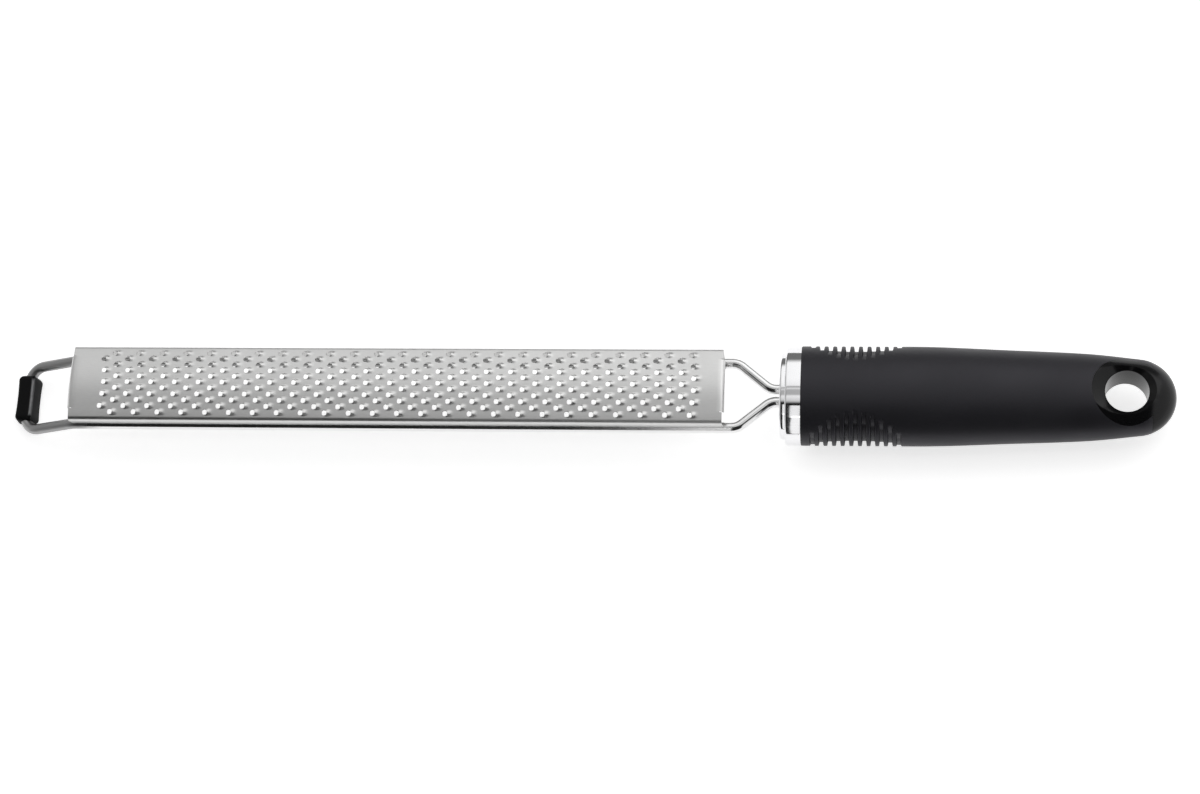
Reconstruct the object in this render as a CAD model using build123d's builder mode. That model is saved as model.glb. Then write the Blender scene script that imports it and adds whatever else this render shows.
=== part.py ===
from build123d import *
import os
from math import asin, atan2, cos, degrees, radians, sin, sqrt, tan

# Rasp zester: a toothed steel channel on a bent wire frame, with an oval soft-grip handle.
# +X runs from the front loop to the tail of the handle, +Z is up, and Z = 0 is the surface
# that the tool lies on. All lengths are in millimetres.

os.makedirs("parts", exist_ok=True)

overrun = 5.0

# Wire frame: one bent round rod
wire_diameter = 3.2
rail_spacing = 20.4
neck_spacing = 4.0
neck_length = 16.8
neck_angle = 40.0
neck_bend_radius = 5.0
neck_gap = 1.2
tang_length = 46.0
loop_run = 17.2
loop_corner_radius = 5.3
loop_knee_radius = 7.0

# Rest pad: rubber moulded round the front bar
pad_wall = 1.3
pad_foot = 1.52
pad_thickness = 6.4
pad_width = 14.8
pad_edge_radius = 1.1
pad_end_chamfer = 0.4

# Blade: a sheet channel with rows of punched teeth. Its sharp corners overhang the rods.
blade_length = 196.7
blade_overhang = 1.9
blade_front_gap = 0.5
sheet = 0.5
crown_radius = 50.0
crown_height = 9.4
edge_bend_radius = 1.3
weld_gap = 0.03
roll_side_gap = 0.3
roll_reach = 0.6
roll_radius = 1.4
roll_drop = 2.4
roll_turns = (0, 30, 60, 90)

# Tooth pattern
row_count = 11
teeth_per_row = 25
pattern_from_front = 9.7
pattern_from_rear = 8.885
pattern_from_side = 1.705
row_bow = 1.3
hole_length = 1.7
hole_tip_width = 0.8
tooth_width = 1.5
tooth_length = 1.4
tooth_height = 0.55
tooth_root = 0.2

# Handle: an oval body, given by its plan outline
handle_length = 109.7
handle_width = 30.5
flatness_share = 0.69
oval_end_share = 0.54
waist_from_tail = 47.8
waist_inset = 1.0
shoulder_from_tail = 25.7
shoulder_inset = 2.0
tail_inset = 3.55
tail_slope = 6.3
station_shares = (0, 0.1, 0.25, 0.5, 0.75, 1)

# Hanging hole, dished on both sides
hole_from_tail = 14.6
hanging_hole_diameter = 12.8
hanging_hole_length = 11.2
dish_inset = 1.35
dish_angle = 36.0

# Hard core inside the soft sleeve
core_width = 11.8
core_end_from_tail = 22.0
cap_length = 7.3
socket_clearance = 0.05

# Ferrule
ferrule_length = 4.6
ferrule_wall = 1.2
ferrule_nose = 1.6
nose_inset = 1.9
ferrule_chamfer = 0.5
spigot_length = 3.6
spigot_clearance = 0.1

# Fins on both sides of the grip
groove_count = 11
groove_pitch = 2.54
groove_width = 1.3
groove_depth = 1.6
groove_end_depth = 0.6
fins_below_top = 2.0
first_groove_from_front = 3.4
fins_to_taper = 1.36

# Places along the tool, worked out from the sizes above. The chain of lengths from the front of
# the pad to the tail makes the overall length, and the tool is centred on it.
wire_radius = wire_diameter / 2
loop_length = pad_wall + wire_radius + loop_run + blade_front_gap
collar_length = ferrule_nose + ferrule_length
overall_length = loop_length + blade_length + neck_length + collar_length + handle_length
front_x = -overall_length / 2
bar_x = front_x + pad_wall + wire_radius
knee_x = bar_x + loop_run
blade_x = knee_x + blade_front_gap
blade_end_x = blade_x + blade_length
nose_x = blade_end_x + neck_length
ferrule_x = nose_x + ferrule_nose
handle_x = ferrule_x + ferrule_length
tail_x = handle_x + handle_length
hanging_x = tail_x - hole_from_tail
cap_x = tail_x - cap_length
widest_x = handle_x + first_groove_from_front + groove_count * groove_pitch + fins_to_taper
core_end_x = tail_x - core_end_from_tail

# Heights: the underside of the pad is level with the underside of the handle.
handle_height = handle_width * flatness_share
axis_z = handle_height / 2
bar_z = pad_foot + wire_radius


# Wire frame. The rod starts at the end of one tang, leaves the handle, spreads at the neck,
# runs straight under the blade, dips to the front bar, and comes back the same way.
rail_y = rail_spacing / 2
neck_y = neck_spacing / 2
neck_x = nose_x - neck_gap - neck_bend_radius * tan(radians(neck_angle / 2))
spread_x = neck_x - (rail_y - neck_y) / tan(radians(neck_angle))
tang_x = handle_x + tang_length

upper_side = [
    (tang_x, neck_y, axis_z),
    (neck_x, neck_y, axis_z),
    (spread_x, rail_y, axis_z),
    (knee_x, rail_y, axis_z),
    (bar_x, rail_y, bar_z),
]
lower_side = [(x, -y, z) for x, y, z in reversed(upper_side)]
side_radii = [neck_bend_radius, neck_bend_radius, loop_knee_radius, loop_corner_radius]

with BuildPart() as wire_frame:
    with BuildLine() as rod_path:
        FilletPolyline(*upper_side, *lower_side, radius=side_radii + side_radii[::-1])
    with BuildSketch(Plane(origin=upper_side[0], z_dir=(-1, 0, 0))):
        Circle(wire_radius)
    sweep(path=rod_path.line)
wire_frame.part.label = "wire_frame"
export_step(wire_frame.part, "parts/wire_frame.step")

# Rest pad, with the rod moulded in
pad_x = front_x + pad_thickness / 2
pad_top_z = bar_z + wire_radius + pad_wall
with BuildPart() as rest_pad:
    with BuildSketch(Plane.XZ):
        with Locations((pad_x, pad_top_z / 2)):
            Rectangle(pad_thickness, pad_top_z)
    extrude(amount=pad_width / 2, both=True)
    fillet(rest_pad.edges().filter_by(Axis.Y), radius=pad_edge_radius)
    chamfer(rest_pad.faces().filter_by(Axis.Y).edges(), length=pad_end_chamfer)
    add(wire_frame.part, mode=Mode.SUBTRACT)
rest_pad.part.label = "rest_pad"
export_step(rest_pad.part, "parts/rest_pad.step")

# Blade. The top is crowned in narrow flats, one for each row of teeth. The sides are bent down
# and lean in to the rails, and their lower edges are hollowed to sit along the rods.
blade_width = rail_spacing + 2 * blade_overhang
tooth_pitch = (blade_length - pattern_from_front - pattern_from_rear) / (teeth_per_row - 1 / 2)
row_spacing = (blade_width - 2 * pattern_from_side) / row_count
crown_z = axis_z + crown_height
crown_axis_z = crown_z - crown_radius
row_angle = row_spacing / crown_radius
corner_y = blade_width / 2
corner_z = crown_axis_z + sqrt(crown_radius**2 - corner_y**2)
half_rows = row_count / 2


def crown_point(rows_from_middle):
    """A corner of the crown's section, counted in rows from the blade's middle line."""
    angle = rows_from_middle * row_angle
    return (crown_radius * sin(angle), crown_axis_z + crown_radius * cos(angle))


crown_points = [crown_point(j - half_rows) for j in range(row_count + 1)]
foot_y = rail_y + sheet / 2
with BuildPart() as blade:
    with BuildSketch(Plane.YZ.offset(blade_x)):
        with BuildLine() as skin:
            FilletPolyline(
                (-foot_y, axis_z),
                (-corner_y, corner_z),
                *crown_points,
                (corner_y, corner_z),
                (foot_y, axis_z),
                radius=[edge_bend_radius] + [0] * len(crown_points) + [edge_bend_radius],
            )
            offset(amount=sheet, side=Side.RIGHT)
        make_face()
        with Locations((-rail_y, axis_z), (rail_y, axis_z)):
            Circle(wire_radius + weld_gap, mode=Mode.SUBTRACT)
    extrude(amount=blade_length)

# Rolled ends: between the rails, the sheet reaches a little past the ends of the channel and
# curls down. The curl is turned about the axis of the crown, so it follows the crown.
crown_axis = Axis((0, 0, crown_axis_z), (1, 0, 0))
roll_half_width = rail_y - wire_radius - roll_side_gap
roll_angle = asin(roll_half_width / crown_radius)
roll_line_radius = roll_radius - sheet / 2
with BuildPart() as rolled_ends:
    for end_x, outward in ((blade_x, -1), (blade_end_x, 1)):
        hub_x = end_x + outward * (roll_reach - roll_radius)
        hub_z = crown_z - roll_radius
        curl = [
            (
                hub_x + outward * roll_line_radius * sin(radians(turn)),
                hub_z + roll_line_radius * cos(radians(turn)),
            )
            for turn in roll_turns
        ]
        with BuildSketch(Plane.XZ):
            with BuildLine():
                Polyline(
                    (end_x - outward * roll_radius, crown_z - sheet / 2),
                    *curl,
                    (hub_x + outward * roll_line_radius, crown_z - roll_drop),
                )
            trace(line_width=sheet)
        revolve(axis=crown_axis, revolution_arc=degrees(roll_angle))
    mirror(about=Plane.XZ)
with blade:
    add(rolled_ends.part)

# One tooth: a pointed scoop. It rises from the sheet behind its hole to a peak over the hole's
# edge. Its foot is sunk in the sheet by the root, and keeps the slope of its sides.
root_growth = (tooth_height + tooth_root) / tooth_height
with BuildPart() as tooth:
    with BuildSketch(Plane.XY.offset(-tooth_root)) as tooth_foot:
        Polygon(
            (0, -tooth_width / 2 * root_growth),
            (tooth_length * root_growth, 0),
            (0, tooth_width / 2 * root_growth),
            align=None,
        )
    loft(sections=[tooth_foot.sketch, Vertex(0, 0, tooth_height)])

# The rows are staggered by half a pitch, and bow towards the handle in the middle of the blade.
for row in range(row_count):
    rows_out = row - (row_count - 1) / 2
    angle = rows_out * row_angle
    flat_radius = crown_radius * cos(row_angle / 2)
    bow = row_bow * (1 - (rows_out / half_rows) ** 2)
    stagger = tooth_pitch / 2 if row % 2 == 0 else 0
    flat = Plane(
        origin=(
            blade_x + pattern_from_front + bow + stagger,
            flat_radius * sin(angle),
            crown_axis_z + flat_radius * cos(angle),
        ),
        x_dir=(1, 0, 0),
        z_dir=(0, sin(angle), cos(angle)),
    )
    places = [(k * tooth_pitch, 0) for k in range(teeth_per_row)]
    with blade:
        with BuildSketch(flat):
            with Locations(*places):
                Polygon(
                    (0, -tooth_width / 2),
                    (0, tooth_width / 2),
                    (-hole_length, hole_tip_width / 2),
                    (-hole_length, -hole_tip_width / 2),
                    align=None,
                )
        extrude(amount=-2 * sheet, mode=Mode.SUBTRACT)
        with Locations(flat):
            with Locations(*places):
                add(tooth.part)
blade.part.label = "blade"
export_step(blade.part, "parts/blade.step")

# Handle sections are ovals of four arcs: two ends, and a flatter top and bottom tangent to them.
def oval(width, inset=0):
    """A section of the handle's flatness, or a line at an even inset inside it."""
    half_width = width / 2
    half_height = half_width * flatness_share
    end_radius = half_width * oval_end_share
    end_y = half_width - end_radius
    top_radius = (end_y**2 + half_height**2 - end_radius**2) / (2 * (half_height - end_radius))
    drop = top_radius - half_height
    joint = degrees(atan2(drop, end_y))
    with BuildSketch() as section:
        with BuildLine():
            CenterArc((end_y, axis_z), end_radius - inset, -joint, 2 * joint)
            CenterArc((0, axis_z - drop), top_radius - inset, joint, 180 - 2 * joint)
            CenterArc((-end_y, axis_z), end_radius - inset, 180 - joint, 2 * joint)
            CenterArc((0, axis_z + drop), top_radius - inset, 180 + joint, 180 - 2 * joint)
        make_face()
    return section.sketch


# Handle body behind the fins: ovals that follow the plan outline, then a turned tail.
tail_radius = handle_width / 2 - tail_inset
tail_centre_x = tail_x - tail_radius
tail_start_x = tail_centre_x + tail_radius * sin(radians(tail_slope))
tail_start_y = tail_radius * cos(radians(tail_slope))
with BuildLine() as side_outline:
    Spline(
        (widest_x, handle_width / 2),
        (tail_x - waist_from_tail, handle_width / 2 - waist_inset),
        (tail_x - shoulder_from_tail, handle_width / 2 - shoulder_inset),
        (tail_start_x, tail_start_y),
        tangents=[(1, 0), (cos(radians(tail_slope)), -sin(radians(tail_slope)))],
    )
stations = [side_outline.line @ share for share in station_shares]

with BuildPart() as turned_tail:
    with BuildSketch(Plane.XZ.offset(0)):
        with Locations((tail_centre_x, 0)):
            add(oval(2 * tail_radius))
            Rectangle(tail_radius, handle_width, align=(Align.MAX, Align.MIN), mode=Mode.SUBTRACT)
    revolve(axis=Axis((tail_centre_x, 0, 0), (0, 0, 1)))
    split(bisect_by=Plane.YZ.offset(tail_start_x))

with BuildPart() as handle_rear:
    for station in stations[:-1]:
        with BuildSketch(Plane.YZ.offset(station.X)):
            add(oval(2 * station.Y))
    add(turned_tail.faces().sort_by(Axis.X)[0])
    loft()
    add(turned_tail.part)

# The core shows at the tail and round the hanging hole, inside the dish.
dish_radius = tail_radius - dish_inset
with BuildPart() as bare_end:
    with BuildSketch(Plane.XY.offset(axis_z)):
        with Locations((hanging_x, 0)):
            Circle(dish_radius)
        with Locations((cap_x + overrun, 0)):
            Rectangle(2 * overrun, handle_width)
    extrude(amount=handle_width / 2, both=True)

# Hanging hole with a dish above and below
rim_radius = hanging_hole_diameter / 2
rim_z = hanging_hole_length / 2
mouth_radius = dish_radius + overrun
mouth_z = rim_z + (mouth_radius - rim_radius) * tan(radians(dish_angle))
with BuildPart() as dished_hole:
    with BuildSketch(Plane.XZ):
        with BuildLine():
            Polyline(
                (hanging_x, axis_z - mouth_z),
                (hanging_x + mouth_radius, axis_z - mouth_z),
                (hanging_x + rim_radius, axis_z - rim_z),
                (hanging_x + rim_radius, axis_z + rim_z),
                (hanging_x + mouth_radius, axis_z + mouth_z),
                (hanging_x, axis_z + mouth_z),
                close=True,
            )
        make_face()
    revolve(axis=Axis((hanging_x, 0, 0), (0, 0, 1)))

# Hard core: spigot in the ferrule, oval bar in the sleeve, and the tail with the hanging hole.
spigot_width = handle_width - 2 * ferrule_wall - 2 * spigot_clearance
with BuildPart() as handle_core:
    add(handle_rear.part)
    add(bare_end.part, mode=Mode.INTERSECT)
    with BuildSketch(Plane.YZ.offset(handle_x)):
        add(oval(core_width))
    extrude(amount=core_end_x - handle_x)
    with BuildSketch(Plane.YZ.offset(handle_x)):
        add(oval(spigot_width))
    extrude(amount=-spigot_length)
    add(dished_hole.part, mode=Mode.SUBTRACT)
    with BuildSketch(Plane.YZ.offset(handle_x - spigot_length)):
        with Locations((-neck_y, axis_z), (neck_y, axis_z)):
            Circle(wire_radius + socket_clearance)
    extrude(amount=spigot_length + tang_length, mode=Mode.SUBTRACT)
handle_core.part.label = "handle_core"
export_step(handle_core.part, "parts/handle_core.step")

# Fin grooves: slots square to the axis, deepest in the middle of the patch. They cut both sides
# at once, and their height follows the lens shape of the patch.
groove_height = handle_height - 2 * fins_below_top
with BuildPart() as grooves:
    middle = (groove_count - 1) / 2
    for k in range(groove_count):
        bulge = 1 - ((k - middle) / (middle + 1)) ** 2
        depth = groove_end_depth + (groove_depth - groove_end_depth) * bulge
        start_x = handle_x + first_groove_from_front + k * groove_pitch - groove_width / 2
        with BuildSketch(Plane.YZ.offset(start_x)):
            with Locations((0, axis_z)):
                Rectangle(handle_width + 2 * overrun, groove_height * sqrt(bulge))
            add(oval(handle_width, inset=depth), mode=Mode.SUBTRACT)
        extrude(amount=groove_width)

# Soft sleeve: a straight oval where the fins are, then the tapering body.
with BuildPart() as grip_sleeve:
    with BuildSketch(Plane.YZ.offset(handle_x)):
        add(oval(handle_width))
    extrude(amount=widest_x - handle_x)
    add(grooves.part, mode=Mode.SUBTRACT)
    add(handle_rear.part)
    add(bare_end.part, mode=Mode.SUBTRACT)
    with BuildSketch(Plane.YZ.offset(handle_x)):
        add(oval(core_width))
    extrude(amount=core_end_x - handle_x, mode=Mode.SUBTRACT)
grip_sleeve.part.label = "grip_sleeve"
export_step(grip_sleeve.part, "parts/grip_sleeve.step")

# Ferrule: a bright cap over the spigot, with a raised nose that the rods pass through.
with BuildPart() as ferrule:
    with BuildSketch(Plane.YZ.offset(ferrule_x)):
        add(oval(handle_width))
    extrude(amount=ferrule_length)
    chamfer(ferrule.faces().sort_by(Axis.X)[0].edges(), length=ferrule_chamfer)
    with BuildSketch(Plane.YZ.offset(ferrule_x)):
        add(oval(handle_width - 2 * nose_inset))
    extrude(amount=-ferrule_nose)
    chamfer(ferrule.faces().sort_by(Axis.X)[0].edges(), length=ferrule_chamfer)
    with BuildSketch(Plane.YZ.offset(handle_x)):
        add(oval(handle_width - 2 * ferrule_wall))
    extrude(amount=-(spigot_length + spigot_clearance), mode=Mode.SUBTRACT)
    with BuildSketch(Plane.YZ.offset(handle_x)):
        with Locations((-neck_y, axis_z), (neck_y, axis_z)):
            Circle(wire_radius + socket_clearance)
    extrude(amount=-(ferrule_length + ferrule_nose), mode=Mode.SUBTRACT)
ferrule.part.label = "ferrule"
export_step(ferrule.part, "parts/ferrule.step")
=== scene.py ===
# %% [markdown]
# # A rasp zester in Blender
# The tool is a long toothed steel channel on a bent wire frame, with a rubber rest pad at the front
# and an oval soft-grip handle at the back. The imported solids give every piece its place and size.
# This lesson dresses them: each piece is modelled again as the eye sees it, and gets its finish.

# %% The frame
import math

import bmesh
import bpy
from mathutils import Matrix, Vector


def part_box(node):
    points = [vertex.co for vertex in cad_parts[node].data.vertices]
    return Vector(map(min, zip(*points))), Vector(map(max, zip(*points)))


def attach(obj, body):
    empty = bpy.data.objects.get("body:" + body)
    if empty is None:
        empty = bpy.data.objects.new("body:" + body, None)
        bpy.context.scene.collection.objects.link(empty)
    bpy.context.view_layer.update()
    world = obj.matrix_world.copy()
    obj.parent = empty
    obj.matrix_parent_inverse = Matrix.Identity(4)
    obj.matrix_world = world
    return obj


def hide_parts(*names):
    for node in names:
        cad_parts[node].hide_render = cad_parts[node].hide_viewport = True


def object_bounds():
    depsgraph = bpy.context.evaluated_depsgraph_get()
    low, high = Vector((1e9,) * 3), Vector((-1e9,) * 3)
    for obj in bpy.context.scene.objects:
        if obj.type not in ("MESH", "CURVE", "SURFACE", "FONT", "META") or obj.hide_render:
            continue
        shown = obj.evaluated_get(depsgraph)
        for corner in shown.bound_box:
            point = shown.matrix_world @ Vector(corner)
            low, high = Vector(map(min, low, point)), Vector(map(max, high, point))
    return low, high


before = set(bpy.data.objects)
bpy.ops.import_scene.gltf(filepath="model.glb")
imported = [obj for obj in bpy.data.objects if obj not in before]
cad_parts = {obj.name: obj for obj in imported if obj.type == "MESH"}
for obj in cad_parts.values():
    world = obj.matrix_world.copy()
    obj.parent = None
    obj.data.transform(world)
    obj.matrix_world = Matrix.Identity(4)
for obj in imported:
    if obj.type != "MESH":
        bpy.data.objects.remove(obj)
solid_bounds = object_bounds()
print("nodes:", sorted(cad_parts))

# %% [markdown]
# ## Camera
# The photograph looks down on the tool from a steep angle, from a little to the right of its
# middle. A long lens keeps the perspective weak. The three angles and the distance were fitted to
# the outlines of the blade and the handle.

# %% Camera
mm = 0.001
camera_aim = Vector((5.16, -0.71, 10.52)) * mm
camera_distance = 955.0 * mm
camera_azimuth = math.radians(17.25)
camera_elevation = math.radians(68.6)
camera_roll = math.radians(-15.8)
lens_length = 96.0
sensor_width = 36.0


def camera_axes(azimuth, elevation, roll):
    """The camera's right, up and backward directions."""
    back = Vector((
        math.cos(elevation) * math.sin(azimuth),
        -math.cos(elevation) * math.cos(azimuth),
        math.sin(elevation),
    ))
    level = Vector((math.cos(azimuth), math.sin(azimuth), 0))
    upright = back.cross(level)
    right = level * math.cos(roll) + upright * math.sin(roll)
    return right, back.cross(right), back


right, up, back = camera_axes(camera_azimuth, camera_elevation, camera_roll)
camera_data = bpy.data.cameras.new("camera")
camera_data.lens = lens_length
camera_data.sensor_width = sensor_width
camera_data.sensor_fit = "HORIZONTAL"
camera = bpy.data.objects.new("camera", camera_data)
turn = Matrix((right, up, back)).transposed().to_4x4()
camera.matrix_world = Matrix.Translation(camera_aim + back * camera_distance) @ turn
bpy.context.collection.objects.link(camera)
bpy.context.scene.camera = camera
bpy.context.scene.view_settings.view_transform = "Standard"
print("camera at", [round(c, 4) for c in camera.location])

# %% [markdown]
# ## Small helpers
# Node trees are easier to read when a calculation is one line. `calc` adds a Math node and returns
# its output, and works in shader trees and in geometry trees alike.

# %% Node helpers


def add_node(tree, kind, **settings):
    """Adds a node to a tree and sets its properties."""
    made = tree.nodes.new(kind)
    for name, value in settings.items():
        setattr(made, name, value)
    return made


def feed(tree, socket, value):
    """Links an output to a socket, or sets the socket's own value."""
    if isinstance(value, bpy.types.NodeSocket):
        tree.links.new(value, socket)
    else:
        socket.default_value = value


def calc(tree, operation, *values):
    """Adds a Math node and returns its result."""
    made = add_node(tree, "ShaderNodeMath", operation=operation)
    for socket, value in zip(made.inputs, values):
        feed(tree, socket, value)
    return made.outputs[0]


def clamped(tree, value):
    """Keeps a value between 0 and 1."""
    return calc(tree, "MINIMUM", calc(tree, "MAXIMUM", value, 0.0), 1.0)


def new_group(name, kind, inputs, outputs):
    """A node group with named inputs, given as name: (socket type, default), and named outputs."""
    tree = bpy.data.node_groups.new(name, kind)
    for label, (socket_type, default) in inputs.items():
        socket = tree.interface.new_socket(label, in_out="INPUT", socket_type=socket_type)
        if default is not None:
            socket.default_value = default
    for label, socket_type in outputs.items():
        tree.interface.new_socket(label, in_out="OUTPUT", socket_type=socket_type)
    return tree, tree.nodes.new("NodeGroupInput").outputs, tree.nodes.new("NodeGroupOutput").inputs


# %% [markdown]
# The other helpers are about meshes. A piece starts as a list of points and faces, or as a plain
# mesh that modifiers change. `settle` turns the result into plain mesh, `carve` cuts it, and
# `mount_piece` puts the finished piece in place of its solid and prints how large it is.

# %% Piece helpers


def new_piece(name, vertices, faces):
    """A mesh object at the origin."""
    mesh = bpy.data.meshes.new(name)
    mesh.from_pydata(vertices, [], faces)
    piece = bpy.data.objects.new(name, mesh)
    bpy.context.collection.objects.link(piece)
    return piece


def ring_faces(rings, around):
    """The faces between rings of points, with a cap on the first ring and one on the last."""
    faces = []
    for ring in range(rings - 1):
        for k in range(around):
            first, second = ring * around + k, ring * around + (k + 1) % around
            faces.append((first, second, second + around, first + around))
    last = (rings - 1) * around
    return [*faces, tuple(reversed(range(around))), tuple(range(last, last + around))]


def settle(piece):
    """Turns what the modifiers make into a plain mesh and removes the modifiers."""
    depsgraph = bpy.context.evaluated_depsgraph_get()
    mesh = bpy.data.meshes.new_from_object(piece.evaluated_get(depsgraph))
    piece.modifiers.clear()
    piece.data = mesh
    mesh.name = piece.name


def shade(piece, sharp_angle):
    """Smooth shading that keeps the edges sharper than an angle in degrees."""
    piece.data.shade_smooth()
    piece.data.set_sharp_from_angle(angle=math.radians(sharp_angle))


def carve(piece, cutter, operation="DIFFERENCE"):
    """Cuts a closed mesh with another one, and removes the cutter."""
    modifier = piece.modifiers.new("carve", "BOOLEAN")
    modifier.operation = operation
    modifier.solver = "EXACT"
    modifier.object = cutter
    settle(piece)
    bpy.data.objects.remove(cutter)


def volume_of(mesh):
    """The signed volume of a closed mesh: positive where its faces point outwards."""
    shape = bmesh.new()
    shape.from_mesh(mesh)
    volume = shape.calc_volume(signed=True)
    shape.free()
    return volume


def mount_piece(piece, node, material):
    """Puts a finished piece in place of its solid."""
    if volume_of(piece.data) < 0:
        piece.data.flip_normals()
    piece.data.materials.clear()
    piece.data.materials.append(material)
    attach(piece, "root")
    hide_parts(node)
    triangles = sum(len(face.vertices) - 2 for face in piece.data.polygons)
    volume = volume_of(piece.data) / mm**3
    print(f"{piece.name}: {triangles} triangles, {volume:.0f} cubic millimetres")


def use_tree(piece, tree, values):
    """Adds a geometry tree to a piece, with its inputs set by name."""
    modifier = piece.modifiers.new(tree.name, "NODES")
    modifier.node_group = tree
    for item in tree.interface.items_tree:
        if item.item_type == "SOCKET" and item.in_out == "INPUT" and item.name in values:
            modifier[item.identifier] = values[item.name]


# %% [markdown]
# ## Finishes
# Two effects are shared by several materials, so each is a node group. `fine grain` is the small
# even roughness of ground steel and of moulded rubber. `handling marks` is the large soft mottling
# that any handled surface has.

# %% Shared shader groups
noise_low = 0.3
noise_high = 0.7


def grain_group():
    """Small even relief, which can be stretched along any axis."""
    tree, given, result = new_group(
        "fine grain",
        "ShaderNodeTree",
        {
            "Grains per metre": ("NodeSocketFloat", 3000.0),
            "Stretch": ("NodeSocketVector", (1.0, 1.0, 1.0)),
        },
        {"Height": "NodeSocketFloat"},
    )
    place = add_node(tree, "ShaderNodeTexCoord")
    stretch = add_node(tree, "ShaderNodeVectorMath", operation="MULTIPLY")
    noise = add_node(tree, "ShaderNodeTexNoise")
    noise.inputs["Detail"].default_value = 3.0
    noise.inputs["Roughness"].default_value = 0.6
    feed(tree, stretch.inputs[0], place.outputs["Object"])
    feed(tree, stretch.inputs[1], given["Stretch"])
    feed(tree, noise.inputs["Vector"], stretch.outputs[0])
    feed(tree, noise.inputs["Scale"], given["Grains per metre"])
    feed(tree, result["Height"], noise.outputs["Fac"])
    return tree


def marks_group():
    """Soft patches that vary between a lowest and a highest value."""
    tree, given, result = new_group(
        "handling marks",
        "ShaderNodeTree",
        {
            "Marks per metre": ("NodeSocketFloat", 60.0),
            "Lowest": ("NodeSocketFloat", 0.0),
            "Highest": ("NodeSocketFloat", 1.0),
        },
        {"Value": "NodeSocketFloat"},
    )
    place = add_node(tree, "ShaderNodeTexCoord")
    noise = add_node(tree, "ShaderNodeTexNoise")
    noise.inputs["Detail"].default_value = 4.0
    ranged = add_node(tree, "ShaderNodeMapRange")
    feed(tree, noise.inputs["Vector"], place.outputs["Object"])
    feed(tree, noise.inputs["Scale"], given["Marks per metre"])
    feed(tree, ranged.inputs["Value"], noise.outputs["Fac"])
    feed(tree, ranged.inputs["From Min"], noise_low)
    feed(tree, ranged.inputs["From Max"], noise_high)
    feed(tree, ranged.inputs["To Min"], given["Lowest"])
    feed(tree, ranged.inputs["To Max"], given["Highest"])
    feed(tree, result["Value"], ranged.outputs[0])
    return tree


fine_grain = grain_group()
handling_marks = marks_group()
print("shared groups:", fine_grain.name, "and", handling_marks.name)

# %% [markdown]
# Every finish on this tool is made in the same way, so one function builds them all. The roughness
# varies between two values with the handling marks. The grain tints the colour a little and gives
# the surface its relief. The shine dims the gloss of the blacks, and metals don't need it.

# %% The finish of every piece


def finish_material(name, colour, metallic, rough, grain, stretch, depth, tint_share, shine=0.5):
    """A material with grain in its relief and colour, and soft marks in its roughness."""
    material = bpy.data.materials.new(name)
    material.use_nodes = True
    tree = material.node_tree
    shader = tree.nodes["Principled BSDF"]
    shader.inputs["Metallic"].default_value = metallic
    shader.inputs["Specular IOR Level"].default_value = shine
    grains = add_node(tree, "ShaderNodeGroup", node_tree=fine_grain)
    grains.inputs["Grains per metre"].default_value = grain
    grains.inputs["Stretch"].default_value = stretch
    marks = add_node(tree, "ShaderNodeGroup", node_tree=handling_marks)
    marks.inputs["Lowest"].default_value = rough[0]
    marks.inputs["Highest"].default_value = rough[1]
    feed(tree, shader.inputs["Roughness"], marks.outputs["Value"])
    tint = add_node(tree, "ShaderNodeMix", data_type="RGBA")
    darker = [c * (1 - tint_share) for c in colour]
    lighter = [c * (1 + tint_share) for c in colour]
    tint.inputs[6].default_value = (*darker, 1)
    tint.inputs[7].default_value = (*lighter, 1)
    feed(tree, tint.inputs[0], grains.outputs["Height"])
    feed(tree, shader.inputs["Base Color"], tint.outputs[2])
    bump = add_node(tree, "ShaderNodeBump")
    bump.inputs["Strength"].default_value = 1.0
    bump.inputs["Distance"].default_value = depth
    feed(tree, bump.inputs["Height"], grains.outputs["Height"])
    feed(tree, shader.inputs["Normal"], bump.outputs["Normal"])
    return material


# %% Materials
even = (1.0, 1.0, 1.0)
along_tool = (0.25, 1.0, 1.0)
deep_black = (0.006, 0.006, 0.0065)
cool_black = (0.006, 0.006, 0.0078)
cool_sheen = (0.93, 0.91, 1.0, 1)
blade_steel = finish_material(
    "ground stainless sheet",
    colour=(0.62, 0.62, 0.615),
    metallic=1.0,
    rough=(0.3, 0.38),
    grain=2600.0,
    stretch=along_tool,
    depth=0.006 * mm,
    tint_share=0.06,
)
rod_steel = finish_material(
    "polished stainless rod",
    colour=(0.75, 0.75, 0.75),
    metallic=1.0,
    rough=(0.1, 0.16),
    grain=900.0,
    stretch=even,
    depth=0.002 * mm,
    tint_share=0.03,
)
collar_chrome = finish_material(
    "bright collar",
    colour=(0.8, 0.8, 0.81),
    metallic=1.0,
    rough=(0.05, 0.09),
    grain=400.0,
    stretch=even,
    depth=0.001 * mm,
    tint_share=0.02,
)
pad_rubber = finish_material(
    "black pad rubber",
    colour=deep_black,
    metallic=0.0,
    rough=(0.4, 0.55),
    grain=2200.0,
    stretch=even,
    depth=0.02 * mm,
    tint_share=0.2,
    shine=0.08,
)
core_plastic = finish_material(
    "hard black plastic",
    colour=deep_black,
    metallic=0.0,
    rough=(0.14, 0.22),
    grain=1500.0,
    stretch=even,
    depth=0.002 * mm,
    tint_share=0.1,
    shine=0.22,
)
grip_rubber = finish_material(
    "soft black grip",
    colour=cool_black,
    metallic=0.0,
    rough=(0.42, 0.52),
    grain=2600.0,
    stretch=even,
    depth=0.02 * mm,
    tint_share=0.15,
)
grip_shader = grip_rubber.node_tree.nodes["Principled BSDF"]
grip_shader.inputs["Specular Tint"].default_value = cool_sheen
print("materials:", len(bpy.data.materials))

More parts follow.
